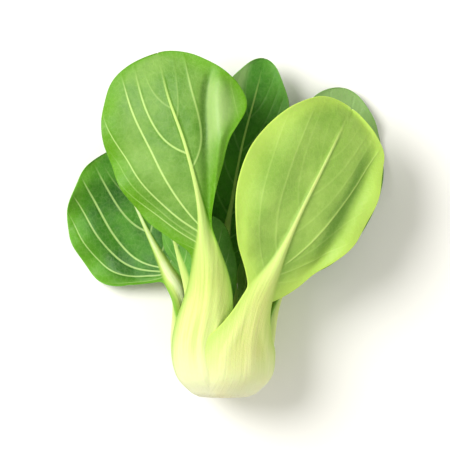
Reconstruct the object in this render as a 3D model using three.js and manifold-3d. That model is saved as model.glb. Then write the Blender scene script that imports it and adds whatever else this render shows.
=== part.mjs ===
// A head of baby bok choy as picked, lying on its side: five large leaves in a ring round the
// head, two younger leaves inside them, three small heart leaves, and the trimmed crown that
// they all grow from. Each leaf is one closed solid: a thick spoon-shaped stalk that thins into
// the midrib of a waved blade.
// Millimetres, +Z up. The head points along +Y from its cut base, and z = 0 is the table.
import * as THREE from "three";
import { mergeVertices } from "three/addons/utils/BufferGeometryUtils.js";
import Module from "manifold-3d";

const wasm = await Module();
wasm.setup();

// The head's own axis, its cut, the bulb that the stalks form round it, and the gap between leaves.
const AXIS_X = -1.4;
const AXIS_Z = 21.3;
const CUT_Y = -68.7;
const BULB_R = 21.5;
const GAP = 0.35;

// The crown's outline, as [radius, height above the cut].
const CROWN_PROFILE = [[0, 0], [9.5, 0], [10.3, 1], [11.5, 3.5], [11.5, 5.5], [8.5, 9], [4, 11.3],
  [0, 12.3]];
const CROWN_SIDES = 28;

// The surface that the head lies on, and how far the low edges press flat against it.
const TABLE = [400, 400, 20];
const PRESSED = 0.15;

// How far a stalk's back stands from the axis, as [y, radius], from its root up to the bulb.
const OUTER_RING = [[-69.2, 10], [-67, 13.8], [-60, 19.7], [-47, BULB_R]];
const INNER_RING = [[-66, 5.5], [-60, 10.5], [-53, 13.6], [-42, 14.4]];
const HEART_RING = [[-63, 2.5], [-57, 6.5], [-50, 8.6], [-40, 9]];

// Along a leaf, 0 is its root and 1 is its neck, where the stalk runs out into the blade.
// The rib is the thick middle: first the whole stalk, then the midrib. A clasping stalk is wide
// only where it holds the bulb.
const PLAIN_STALK = [[0, 0.5], [0.15, 0.86], [0.3, 1], [0.48, 0.93], [0.68, 0.67], [0.86, 0.45],
  [1, 0.29], [1.15, 0.155], [1.4, 0.085], [2.4, 0.03]];
const CLASPING_STALK = [[0, 0.85], [0.12, 0.97], [0.24, 1], [0.36, 0.98], [0.43, 0.88], [0.52, 0.67],
  [0.62, 0.49], [0.72, 0.37], [0.86, 0.27], [1, 0.18], [1.15, 0.11], [1.4, 0.07], [2.4, 0.03]];
const RIB_DEPTH = [[0, 0.7], [0.3, 1], [0.68, 0.9], [1, 0.72], [1.2, 0.42], [1.5, 0.24], [2.4, 0.08]];
const RIB_ON_BACK = [[0, 0.04], [0.65, 0.12], [1, 0.45], [1.3, 0.8], [2.4, 0.8]];
const BLADE_THICK = 0.8;
const BLADE_START = 0.82;

// Where a leaf turns from wrapping the bulb to facing its own way, in necks from its root.
const PLAIN_OPENING = [0.55, 1.25];
const EARLY_OPENING = [0.45, 0.98];
// Where it stops following the bulb's round bottom, and how far it stands clear of the bulb there.
const LEAVES_BULB = [0.2, 0.5];
const CLEAR_OF_BULB = 0.4;

// The outline of half a blade, as [place, share of its half width]. The place runs from 0 at the
// blade's start to 1 at its tip, and is stretched at both ends so that they come out round.
const ROUND = [[0, 0], [0.2, 0.45], [0.35, 0.82], [0.5, 1], [0.68, 0.93], [0.84, 0.6], [1, 0]];
const POINTED = [[0, 0], [0.2, 0.45], [0.35, 0.82], [0.48, 1], [0.6, 0.93], [0.74, 0.66], [0.82, 0.44],
  [0.9, 0.25], [1, 0]];
const LOBED = [[0, 0], [0.14, 0.08], [0.2, 0.32], [0.26, 0.68], [0.36, 0.92], [0.46, 0.99], [0.57, 1],
  [0.67, 0.89], [0.78, 0.62], [0.9, 0.36], [1, 0]];
const FULL_LOW = [[0, 0], [0.2, 0.12], [0.28, 0.4], [0.35, 0.7], [0.43, 0.86], [0.52, 0.97], [0.6, 1],
  [0.7, 0.9], [0.82, 0.7], [0.92, 0.38], [1, 0]];
const FULL_HIGH = [[0, 0], [0.3, 0.06], [0.39, 0.19], [0.47, 0.4], [0.535, 0.6], [0.59, 0.93], [0.65, 0.96],
  [0.75, 0.78], [0.85, 0.5], [0.93, 0.22], [1, 0]];
const BROAD = [[0, 0], [0.09, 0.06], [0.18, 0.28], [0.27, 0.55], [0.37, 0.78], [0.46, 0.94], [0.55, 1],
  [0.64, 0.93], [0.73, 0.78], [0.83, 0.54], [0.92, 0.3], [1, 0]];
const SQUARE = [[0, 0], [0.13, 0.29], [0.22, 0.45], [0.29, 0.59], [0.37, 0.81], [0.46, 0.98], [0.55, 1],
  [0.66, 0.93], [0.78, 0.78], [0.88, 0.5], [0.94, 0.22], [1, 0]];

const LIGHT_GREEN = 0xa9cf5c;
const DARK_GREEN = 0x4d8f2f;
const CROWN_WHITE = 0xeef0cf;

// Each leaf: its ring, the side of the axis that it grows on and the way its back faces at the
// blade (degrees, 0 = +X, 90 = up), how far it is sunk into the ring, the midrib's points past the
// bulb, the neck's place along the leaf, the stalk's half width and depth, and the blade's half
// width and outline. Pairs are [right, left], seen from the back with the tip up. cup is the
// blade's bend. tuck is how deep a stalk's edge slips in behind its neighbour, and melt how much
// deeper it does so at the root. folds are lengthwise ridges in the blade: [distance from the
// midrib, its growth with the square of the way past the neck, height, half width]. lip turns the
// edge up. The order is the one in which the leaves cover each other.
const LEAVES = {
  leaf_top_right: {
    ring: OUTER_RING, side: 62, face: 72, sunk: 0, colour: LIGHT_GREEN,
    points: [[12.5, -30, 39.5], [20, -14.5, 41], [29, 5, 42], [38, 23, 40], [46, 39, 35],
      [50, 47, 30]],
    neck: 56, shape: CLASPING_STALK, stalk: [21, 22.6], depth: 5, opens: PLAIN_OPENING,
    blade: [27.5, 30], outline: [SQUARE, BROAD], cup: [0.004, 0.008], tuck: [0, 0], melt: [0, 1.4],
    wave: [1.2, 1.4], waves: 3.2, phase: 0.6, folds: [[19, 0, -2.6, 4.5], [-15, 0, 1.4, 6]], lip: 1.2,
  },
  leaf_top_left: {
    ring: OUTER_RING, side: 123, face: 97, sunk: 0.7, colour: LIGHT_GREEN,
    points: [[-8.5, -26, 41.5], [-8.4, -10, 46], [-11, 10, 49.5], [-16.5, 32, 50.5], [-23.5, 52, 47.5],
      [-27.6, 69, 41]],
    neck: 66, shape: PLAIN_STALK, stalk: [18.5, 15.5], depth: 5, opens: PLAIN_OPENING,
    blade: [30, 32], outline: [FULL_HIGH, FULL_LOW], cup: [0.012, 0.009], tuck: [5.2, -0.5],
    wave: [1.2, 1.6], waves: 3.4, phase: 2.2,
    folds: [[2.8, 0.0034, -2.6, 2.8], [8.5, 0.0034, 2.6, 4.6], [-17, 0, -1, 6]], lip: 0.8,
  },
  leaf_left: {
    ring: OUTER_RING, side: 196, face: 274, sunk: 0.4, colour: DARK_GREEN,
    points: [[-20.3, -29, 12.5], [-25.3, -17, 8], [-32, -4, 4.7], [-39, 11, 3.9], [-48.5, 31, 6.2]],
    neck: 62, shape: CLASPING_STALK, stalk: [12.5, 13], depth: 4.6, opens: EARLY_OPENING,
    blade: [30, 16], outline: [LOBED, ROUND], cup: [-0.003, -0.006], tuck: [3.4, 0],
    wave: [2, 1.4], waves: 3, phase: 1.1, folds: [[12, 0, 1.2, 5]], lip: -0.8,
  },
  leaf_under: {
    ring: OUTER_RING, side: 265, face: 266, sunk: 0.4, colour: DARK_GREEN,
    points: [[-2.5, -28, 2.5], [-1.5, -10, 5.5], [2, 10, 9], [6, 32, 12.5], [11.5, 53, 15],
      [15.5, 68.5, 12]],
    neck: 62, shape: PLAIN_STALK, stalk: [14, 14], depth: 4.6, opens: PLAIN_OPENING,
    blade: [20, 21], outline: [POINTED, POINTED], cup: [0.018, 0.018], tuck: [3.4, 3.4],
    wave: [2, 2], waves: 3.4, phase: 0.2, folds: [], lip: -1,
  },
  leaf_right: {
    ring: OUTER_RING, side: 335, face: 266, sunk: 0.4, colour: DARK_GREEN,
    points: [[20.5, -28, 10.5], [26, -12, 6], [33, 6, 3.3], [41, 25, 3], [45.5, 42, 4.7], [48, 57, 3.8]],
    neck: 60, shape: PLAIN_STALK, stalk: [14, 14], depth: 4.6, opens: PLAIN_OPENING,
    blade: [19, 25.5], outline: [ROUND, POINTED], cup: [-0.004, -0.002], tuck: [0, 3.4],
    wave: [1.4, 2], waves: 3.2, phase: 2.6, folds: [], lip: -0.8,
  },
  leaf_inner_left: {
    ring: INNER_RING, side: 163, face: 150, sunk: 0, colour: LIGHT_GREEN,
    points: [[-16, -24, 26], [-20.5, -6, 28], [-25, 13, 30], [-29, 32, 31], [-32, 48, 30]],
    neck: 52, shape: PLAIN_STALK, stalk: [10, 10], depth: 3.6, opens: PLAIN_OPENING,
    blade: [14, 15], outline: [ROUND, ROUND], cup: [0.02, 0.02], tuck: [0, 0],
    wave: [1, 1], waves: 3, phase: 1.9, folds: [], lip: 0.5,
  },
  leaf_inner_right: {
    ring: INNER_RING, side: 22, face: 30, sunk: 0, colour: LIGHT_GREEN,
    points: [[15, -24, 26], [20, -6, 27.5], [26, 12, 28], [32, 30, 26], [36, 43, 23]],
    neck: 52, shape: PLAIN_STALK, stalk: [10, 10], depth: 3.6, opens: PLAIN_OPENING,
    blade: [13, 13], outline: [ROUND, ROUND], cup: [0.02, 0.02], tuck: [0, 0],
    wave: [1, 1], waves: 3, phase: 0.4, folds: [], lip: 0.5,
  },
  heart_leaf_1: {
    ring: HEART_RING, side: 95, face: 95, sunk: 0, colour: LIGHT_GREEN,
    points: [[-2.5, -26, 30.5], [-5, -12, 32.5], [-8, 4, 34]],
    neck: 36, shape: PLAIN_STALK, stalk: [6.5, 6.5], depth: 2.4, opens: PLAIN_OPENING,
    blade: [8, 8], outline: [ROUND, ROUND], cup: [0.05, 0.05], tuck: [0, 0],
    wave: [0.6, 0.6], waves: 2.5, phase: 0.4, folds: [], lip: 0.3,
  },
  heart_leaf_2: {
    ring: HEART_RING, side: 215, face: 215, sunk: 0, colour: LIGHT_GREEN,
    points: [[-8.5, -27, 15.5], [-10, -14, 16], [-12, -2, 17]],
    neck: 34, shape: PLAIN_STALK, stalk: [6, 6], depth: 2.4, opens: PLAIN_OPENING,
    blade: [7.5, 7.5], outline: [ROUND, ROUND], cup: [0.05, 0.05], tuck: [0, 0],
    wave: [0.6, 0.6], waves: 2.5, phase: 1.4, folds: [], lip: 0.3,
  },
  heart_leaf_3: {
    ring: HEART_RING, side: 335, face: 335, sunk: 0, colour: LIGHT_GREEN,
    points: [[7.5, -28, 17], [9, -16, 17.5], [11, -6, 19]],
    neck: 33, shape: PLAIN_STALK, stalk: [5.5, 5.5], depth: 2.4, opens: PLAIN_OPENING,
    blade: [7, 7], outline: [ROUND, ROUND], cup: [0.05, 0.05], tuck: [0, 0],
    wave: [0.5, 0.5], waves: 2.5, phase: 2.4, folds: [], lip: 0.3,
  },
};

// The stalk melts into the blade over this last share of the blade. Waves begin and end and folds
// end over these shares of its length, and folds stop over this share of its width.
const RIB_ENDS = [0.6, 1];
const WAVES_BEGIN = [0, 0.25];
const WAVES_END = [0.82, 1];
const FOLDS_END = [0.7, 0.95];
const FOLDS_STOP = [0.75, 1];
// How sharply waves and the lip keep to the edge, where a tuck begins, over what share of the
// neck an edge comes free of its neighbour, and how far the waves of the two edges are out of step.
const WAVE_POWER = 2.2;
const LIP_POWER = 5;
const TUCK_BEGINS = 0.15;
const MELTS = [0.2, 0.5];
const OUT_OF_STEP = 2;
// The last row of a leaf's mesh stops this many rows short of the tip's very point.
const SHORT_OF_TIP = 0.4;
// Points nearer than this are one point, and a bend of fewer radians is no bend.
const WELD = 1e-4;
const NO_BEND = 1e-6;

// Rows of a leaf's mesh along its stalk and its blade, and its columns from midrib to edge.
const GRIDS = new Map([
  [OUTER_RING, { stalkRows: 8, bladeRows: 15, columns: [0, 0.09, 0.2, 0.33, 0.47, 0.61, 0.75, 0.88, 1] }],
  [INNER_RING, { stalkRows: 7, bladeRows: 10, columns: [0, 0.14, 0.38, 0.68, 1] }],
  [HEART_RING, { stalkRows: 6, bladeRows: 7, columns: [0, 0.2, 0.6, 1] }],
]);

// Small helpers.
const FORWARD = new THREE.Vector3(0, 1, 0);
const radians = (degrees) => (degrees * Math.PI) / 180;
const mix = (a, b, t) => a + (b - a) * t;
const smooth = (a, b, x) => {
  const t = Math.min(1, Math.max(0, (x - a) / (b - a)));
  return t * t * (3 - 2 * t);
};

// A smooth curve through a table of [place, value].
function follow(table, x) {
  const last = table.length - 1;
  if (x <= table[0][0]) return table[0][1];
  if (x >= table[last][0]) return table[last][1];
  const i = table.findIndex(([place]) => place > x) - 1;
  const slope = (k) => {
    const [a, b] = [table[Math.max(k - 1, 0)], table[Math.min(k + 1, last)]];
    return (b[1] - a[1]) / (b[0] - a[0]);
  };
  const [[x0, y0], [x1, y1]] = [table[i], table[i + 1]];
  const step = x1 - x0;
  const t = (x - x0) / step;
  return (2 * t ** 3 - 3 * t ** 2 + 1) * y0 + (t ** 3 - 2 * t ** 2 + t) * step * slope(i)
    + (3 * t ** 2 - 2 * t ** 3) * y1 + (t ** 3 - t ** 2) * step * slope(i + 1);
}

const outward = (degrees) => new THREE.Vector3(Math.cos(radians(degrees)), 0, Math.sin(radians(degrees)));

// The midrib's line: out from the crown along the ring's profile, then through the leaf's points.
function spineOf(leaf) {
  const back = outward(leaf.side);
  const root = leaf.ring.map(([y, r]) =>
    back.clone().multiplyScalar(r - leaf.sunk).add(new THREE.Vector3(AXIS_X, y, AXIS_Z)));
  const rest = leaf.points.map((p) => new THREE.Vector3(...p));
  return new THREE.CatmullRomCurve3([...root, ...rest], false, "catmullrom");
}

// Half the leaf's width on one side (0 right, 1 left), s millimetres from its root.
function halfWidth(leaf, length, s, side) {
  const rib = leaf.stalk[side] * follow(leaf.shape, s / leaf.neck);
  const start = leaf.neck * BLADE_START;
  const t = Math.min(1, Math.max(0, (s - start) / (length - start)));
  const place = Math.acos(1 - 2 * t) / Math.PI;
  const blade = leaf.blade[side] * follow(leaf.outline[side], place);
  return Math.hypot(rib * (1 - smooth(...RIB_ENDS, t)), blade);
}

// The back and inner points of a leaf at one place: s along it, across from -1 (left) to 1 (right).
function leafPoints(leaf, spine, length, s, across, spare) {
  const side = across < 0 ? 1 : 0;
  const centre = spine.getPointAt(s / length);
  const along = spine.getTangentAt(s / length);
  const open = smooth(...leaf.opens, s / leaf.neck);
  const ahead = FORWARD.clone().lerp(along, smooth(...LEAVES_BULB, s / leaf.neck)).normalize();
  const back = outward(mix(leaf.side, leaf.face, open));
  back.addScaledVector(ahead, -back.dot(ahead)).normalize();
  const right = new THREE.Vector3().crossVectors(ahead, back);

  // The stalk wraps round the head's axis, and the blade has a cup of its own.
  const fromAxis = Math.hypot(centre.x - AXIS_X, centre.z - AXIS_Z);
  const ringRadius = leaf.ring[leaf.ring.length - 1][1];
  const bend = mix(1 / Math.min(fromAxis + CLEAR_OF_BULB, ringRadius), leaf.cup[side], open);
  const width = halfWidth(leaf, length, s, side);
  const reach = Math.abs(across) * (width + spare);
  const turn = bend * reach;
  const sideways = Math.abs(turn) < NO_BEND ? reach : Math.sin(turn) / bend;
  const inwards = Math.abs(turn) < NO_BEND ? 0 : (1 - Math.cos(turn)) / bend;
  const sign = across < 0 ? -1 : 1;
  const normal = back.clone().multiplyScalar(Math.cos(turn)).addScaledVector(right, sign * Math.sin(turn));
  const middle = centre.clone().addScaledVector(right, sign * sideways).addScaledVector(back, -inwards);

  // Waves along the edge, folds along the blade, a turned lip, and the edge tucked in below.
  const start = leaf.neck * BLADE_START;
  const t = Math.max(0, (s - start) / (length - start));
  const inBlade = smooth(...WAVES_BEGIN, t);
  const wave = leaf.wave[side] * Math.sin(2 * Math.PI * leaf.waves * t + leaf.phase + side * OUT_OF_STEP)
    * Math.abs(across) ** WAVE_POWER * inBlade * (1 - smooth(...WAVES_END, t));
  const x = sign * reach;
  const pastNeck = Math.max(0, s - leaf.neck);
  const fold = leaf.folds.reduce((sum, [at, spread, height, half]) =>
    sum + height * Math.exp(-(((x - at - spread * pastNeck ** 2) / half) ** 2)), 0)
    * inBlade * (1 - smooth(...FOLDS_END, t)) * (1 - smooth(...FOLDS_STOP, Math.abs(across)));
  const lip = leaf.lip * Math.abs(across) ** LIP_POWER * inBlade;
  const melt = leaf.melt ? leaf.melt[side] * (1 - smooth(...MELTS, s / leaf.neck)) : 0;
  const tuck = (leaf.tuck[side] * (1 - open) + melt) * smooth(TUCK_BEGINS, 1, Math.abs(across));
  middle.addScaledVector(normal, wave + fold + lip - tuck);
  middle.z = Math.max(middle.z, BLADE_THICK / 2 - PRESSED);

  // Thickness: the rib stands mostly inwards on the stalk and mostly on the back of the blade.
  const rib = leaf.stalk[side] * follow(leaf.shape, s / leaf.neck);
  const depth = leaf.depth * follow(RIB_DEPTH, s / leaf.neck) * Math.max(0, 1 - (reach / rib) ** 2);
  const onBack = follow(RIB_ON_BACK, s / leaf.neck);
  return {
    outer: middle.clone().addScaledVector(normal, BLADE_THICK / 2 + depth * onBack + spare),
    inner: middle.clone().addScaledVector(normal, -BLADE_THICK / 2 - depth * (1 - onBack) - spare),
  };
}

// A leaf as a closed mesh: the same grid on its back and its inner face, joined round the edge.
function leafSolid(leaf, spare = 0) {
  const spine = spineOf(leaf);
  const length = spine.getLength();
  const grid = GRIDS.get(leaf.ring);
  const start = leaf.neck * BLADE_START;
  const rows = [];
  for (let i = 0; i < grid.stalkRows; i++) rows.push((start * i) / grid.stalkRows);
  for (let i = 0; i <= grid.bladeRows; i++) {
    rows.push(mix(start, length, Math.sin((Math.PI / 2) * (i / (grid.bladeRows + SHORT_OF_TIP)))));
  }
  const columns = [...grid.columns.slice(1).reverse().map((u) => -u), ...grid.columns];
  const wide = columns.length;
  const vertices = [];
  for (const s of rows) {
    for (const u of columns) {
      const { outer, inner } = leafPoints(leaf, spine, length, s, u, spare);
      vertices.push(outer, inner);
    }
  }
  const at = (row, column, face) => 2 * (row * wide + column) + face;
  const triangles = [];
  const quad = (a, b, c, d) => triangles.push(a, b, c, a, c, d);
  for (let i = 0; i + 1 < rows.length; i++) {
    for (let j = 0; j + 1 < wide; j++) {
      quad(at(i, j, 0), at(i, j + 1, 0), at(i + 1, j + 1, 0), at(i + 1, j, 0));
      triangles.push(at(i, j, 1), at(i + 1, j + 1, 1), at(i, j + 1, 1));
      triangles.push(at(i, j, 1), at(i + 1, j, 1), at(i + 1, j + 1, 1));
    }
    quad(at(i, 0, 1), at(i, 0, 0), at(i + 1, 0, 0), at(i + 1, 0, 1));
    quad(at(i, wide - 1, 0), at(i, wide - 1, 1), at(i + 1, wide - 1, 1), at(i + 1, wide - 1, 0));
  }
  const end = rows.length - 1;
  for (let j = 0; j + 1 < wide; j++) {
    quad(at(0, j, 1), at(0, j + 1, 1), at(0, j + 1, 0), at(0, j, 0));
    quad(at(end, j, 0), at(end, j + 1, 0), at(end, j + 1, 1), at(end, j, 1));
  }
  return solidFrom(vertices, triangles);
}

// Closed meshes to solids that can be cut, and back.
function solidFrom(vertices, triangles) {
  const vertProperties = new Float32Array(vertices.flatMap((v) => [v.x, v.y, v.z]));
  const triVerts = new Uint32Array(triangles);
  return new wasm.Manifold(new wasm.Mesh({ numProp: 3, vertProperties, triVerts }));
}

function solidOfGeometry(geometry) {
  const bare = geometry.clone();
  bare.deleteAttribute("normal");
  bare.deleteAttribute("uv");
  const merged = mergeVertices(bare, WELD);
  return new wasm.Manifold(new wasm.Mesh({
    numProp: 3,
    vertProperties: merged.attributes.position.array,
    triVerts: new Uint32Array(merged.index.array),
  }));
}

function geometryOf(solid) {
  const { vertProperties, triVerts } = solid.getMesh();
  const geometry = new THREE.BufferGeometry();
  geometry.setAttribute("position", new THREE.BufferAttribute(vertProperties, 3));
  geometry.setIndex(new THREE.BufferAttribute(triVerts, 1));
  geometry.computeVertexNormals();
  return geometry;
}

const largestPiece = (solid) =>
  solid.decompose().reduce((a, b) => (b.volume() > a.volume() ? b : a));

// The crown: a short stem, cut flat below, that swells where the stalks join it. It grows by
// spare all over, and its two ends stay on the head's axis.
function crownSolid(spare) {
  const last = CROWN_PROFILE.length - 1;
  const profile = CROWN_PROFILE.map(([radius, y], i) => {
    const grown = i === 0 || i === last ? radius : radius + spare;
    return new THREE.Vector2(grown, CUT_Y + y + (i <= 1 ? -spare : spare));
  });
  const lathe = new THREE.LatheGeometry(profile, CROWN_SIDES).translate(AXIS_X, 0, AXIS_Z);
  return solidOfGeometry(lathe);
}

// The table, as a block under z = 0 that presses a small flat on what rests on it.
const table = solidOfGeometry(new THREE.BoxGeometry(...TABLE).translate(0, 0, -TABLE[2] / 2));

const head = new THREE.Group();
function add(name, solid, colour) {
  const material = new THREE.MeshStandardMaterial({ color: colour, roughness: 0.45, metalness: 0 });
  const mesh = new THREE.Mesh(geometryOf(solid), material);
  mesh.name = name;
  head.add(mesh);
}

const crown = crownSolid(0);
add("crown", crown, CROWN_WHITE);

// The leaves go on in the order in which they cover each other, and where two press together
// the lower one gives way.
const inTheWay = [table, crownSolid(GAP)];
for (const [name, leaf] of Object.entries(LEAVES)) {
  const pressed = inTheWay.reduce((solid, other) => solid.subtract(other), leafSolid(leaf));
  add(name, largestPiece(pressed), leaf.colour);
  inTheWay.push(leafSolid(leaf, GAP));
}

// The part's origin is the middle of the head's box, on the table.
const box = new THREE.Box3().setFromObject(head);
head.position.set(-(box.min.x + box.max.x) / 2, -(box.min.y + box.max.y) / 2, -box.min.z);

export default head;
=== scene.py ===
import bpy
import numpy as np
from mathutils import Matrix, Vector


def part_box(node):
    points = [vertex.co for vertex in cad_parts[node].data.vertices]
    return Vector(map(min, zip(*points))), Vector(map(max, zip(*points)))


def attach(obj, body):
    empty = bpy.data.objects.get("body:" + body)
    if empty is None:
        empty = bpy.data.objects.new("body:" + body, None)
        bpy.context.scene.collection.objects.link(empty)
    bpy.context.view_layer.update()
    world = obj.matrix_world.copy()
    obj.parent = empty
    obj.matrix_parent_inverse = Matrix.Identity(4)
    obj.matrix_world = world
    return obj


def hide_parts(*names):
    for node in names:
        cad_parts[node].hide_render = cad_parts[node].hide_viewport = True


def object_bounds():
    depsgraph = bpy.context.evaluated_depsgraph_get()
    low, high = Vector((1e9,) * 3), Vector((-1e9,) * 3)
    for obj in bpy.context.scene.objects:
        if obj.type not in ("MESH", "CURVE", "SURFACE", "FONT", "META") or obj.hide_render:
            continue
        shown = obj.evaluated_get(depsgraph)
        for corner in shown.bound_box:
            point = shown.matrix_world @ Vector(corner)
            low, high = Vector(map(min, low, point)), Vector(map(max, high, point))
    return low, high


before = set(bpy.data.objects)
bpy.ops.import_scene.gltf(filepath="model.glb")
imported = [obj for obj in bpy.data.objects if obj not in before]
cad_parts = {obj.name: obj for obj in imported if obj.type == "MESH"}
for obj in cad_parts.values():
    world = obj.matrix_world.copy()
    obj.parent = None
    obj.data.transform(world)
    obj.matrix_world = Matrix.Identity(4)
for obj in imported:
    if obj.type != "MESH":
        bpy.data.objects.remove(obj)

cad_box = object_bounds()

# The head's own axis, its cut and its bulb, in millimetres, as in the frame.
MM = 0.001
AXIS_X = -1.4
AXIS_Z = 21.3
CUT_Y = -68.7
BULB_R = 21.5

# How far a stalk's back stands from the axis, as (y, radius), from its root up to the bulb.
OUTER_RING = [(-69.2, 10), (-67, 13.8), (-60, 19.7), (-47, BULB_R)]
INNER_RING = [(-66, 5.5), (-60, 10.5), (-53, 13.6), (-42, 14.4)]
HEART_RING = [(-63, 2.5), (-57, 6.5), (-50, 8.6), (-40, 9)]

# Along a leaf, 0 is its root and 1 is its neck, where the stalk runs out into the blade.
PLAIN_STALK = [(0, 0.5), (0.15, 0.86), (0.3, 1), (0.48, 0.93), (0.68, 0.67), (0.86, 0.45),
               (1, 0.29), (1.15, 0.155), (1.4, 0.085), (2.4, 0.03)]
CLASPING_STALK = [(0, 0.85), (0.12, 0.97), (0.24, 1), (0.36, 0.98), (0.43, 0.88), (0.52, 0.67),
                  (0.62, 0.49), (0.72, 0.37), (0.86, 0.27), (1, 0.18), (1.15, 0.11), (1.4, 0.07),
                  (2.4, 0.03)]
RIB_DEPTH = [(0, 0.7), (0.3, 1), (0.68, 0.9), (1, 0.72), (1.2, 0.42), (1.5, 0.24), (2.4, 0.08)]
RIB_ON_BACK = [(0, 0.04), (0.65, 0.12), (1, 0.45), (1.3, 0.8), (2.4, 0.8)]
BLADE_THICK = 0.66
BLADE_START = 0.82

# Where a leaf turns from wrapping the bulb to facing its own way, in necks from its root.
PLAIN_OPENING = (0.55, 1.25)
EARLY_OPENING = (0.45, 0.98)

# Where it stops following the bulb's round bottom, and how far it stands clear of the bulb there.
LEAVES_BULB = (0.2, 0.5)
CLEAR_OF_BULB = 0.4

# The outline of half a blade, as (place, share of its half width), with both ends stretched.
ROUND = [(0, 0), (0.2, 0.45), (0.35, 0.82), (0.5, 1), (0.68, 0.93), (0.84, 0.6), (1, 0)]
POINTED = [(0, 0), (0.2, 0.45), (0.35, 0.82), (0.48, 1), (0.6, 0.93), (0.74, 0.66), (0.82, 0.44),
           (0.9, 0.25), (1, 0)]
LOBED = [(0, 0), (0.14, 0.08), (0.2, 0.32), (0.26, 0.68), (0.36, 0.92), (0.46, 0.99), (0.57, 1),
         (0.67, 0.89), (0.78, 0.62), (0.9, 0.36), (1, 0)]
FULL_LOW = [(0, 0), (0.2, 0.12), (0.28, 0.4), (0.35, 0.7), (0.43, 0.86), (0.52, 0.97), (0.6, 1),
            (0.7, 0.9), (0.82, 0.7), (0.92, 0.38), (1, 0)]
FULL_HIGH = [(0, 0), (0.3, 0.06), (0.39, 0.19), (0.47, 0.4), (0.535, 0.6), (0.59, 0.93), (0.65, 0.96),
             (0.75, 0.78), (0.85, 0.5), (0.93, 0.22), (1, 0)]
BROAD = [(0, 0), (0.09, 0.06), (0.18, 0.28), (0.27, 0.55), (0.37, 0.78), (0.46, 0.94), (0.55, 1),
         (0.64, 0.93), (0.73, 0.78), (0.83, 0.54), (0.92, 0.3), (1, 0)]
SQUARE = [(0, 0), (0.13, 0.29), (0.22, 0.45), (0.29, 0.59), (0.37, 0.81), (0.46, 0.98), (0.55, 1),
          (0.66, 0.93), (0.78, 0.78), (0.88, 0.5), (0.94, 0.22), (1, 0)]

# Side veins on the right and left of a leaf, from the tip down: how far past the neck each leaves
# the midrib, how far out it draws, the way along in which it does so (mm), and how plainly it shows.
TOP_RIGHT_VEINS = (
    [(50, 8, 11, 0.2), (34, 12, 16, 0.25), (17, 15, 20, 0.25), (1, 20, 27, 0.9), (1, 44, 50, 0.2),
     (-1, 55, 45, 0.4), (-4, 60, 32, 0.25)],
    [(46, 7, 12, 0.15), (27, 12, 16, 0.2), (6, 15, 22, 0.35), (-3, 24, 24, 0.3), (-6, 48, 30, 0.2)])
TOP_LEFT_VEINS = (
    [(53, 6, 9, 0.25), (33, 10, 9, 0.6), (0, 28, 26, 0.2), (-4, 45, 30, 0.2)],
    [(58, 8, 8, 0.3), (39, 10.5, 7, 0.9), (8, 17, 21, 1), (6, 29, 20, 0.9), (3, 34, 22, 0.3),
     (1, 39, 24, 0.7), (-2, 48, 24, 0.35), (-5, 60, 26, 0.35)])
LEFT_VEINS = (
    [(30, 5, 6, 0.3), (14, 8, 8, 0.8), (-3.5, 15, 10, 1), (-5, 21.5, 11, 0.9), (-6, 27, 9, 0.9),
     (-7, 34, 8, 0.6), (-8, 40, 7, 0.35)],
    [(28, 5, 6, 0.3), (12, 8, 8, 0.6), (2, 12, 10, 0.6), (-4, 18, 12, 0.5)])
PLAIN_VEINS = [(58, 6, 8, 0.5), (44, 9, 10, 0.6), (30, 12, 13, 0.7), (17, 16, 16, 0.8), (6, 21, 18, 0.8),
               (-2, 30, 22, 0.7)]
YOUNG_VEINS = [(30, 5, 7, 0.4), (18, 8, 10, 0.5), (8, 11, 12, 0.5), (0, 16, 14, 0.5)]

# What leaves of one kind share.
OUTER = dict(ring=OUTER_RING, sunk=0.4, shape=PLAIN_STALK, depth=4.6, opens=PLAIN_OPENING, folds=[],
             veins=(PLAIN_VEINS, PLAIN_VEINS), ridges=[(0, 0.6, 2), (0.5, 0.3, 2), (-0.5, 0.3, 2)],
             finish="under leaf", slot="outer_leaf_face")
INNER = dict(ring=INNER_RING, sunk=0, neck=52, shape=PLAIN_STALK, stalk=(10, 10), depth=3.6,
             opens=PLAIN_OPENING, outline=(ROUND, ROUND), cup=(0.02, 0.02), tuck=(0, 0), wave=(1, 1),
             waves=3, folds=[], lip=0.5, veins=(YOUNG_VEINS, YOUNG_VEINS), ridges=[(0, 0.5, 1.6)],
             finish="inner leaf", slot="inner_leaf")
HEART = dict(INNER, ring=HEART_RING, depth=2.4, cup=(0.05, 0.05), waves=2.5, lip=0.3, ridges=[],
             finish="young leaf")

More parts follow.
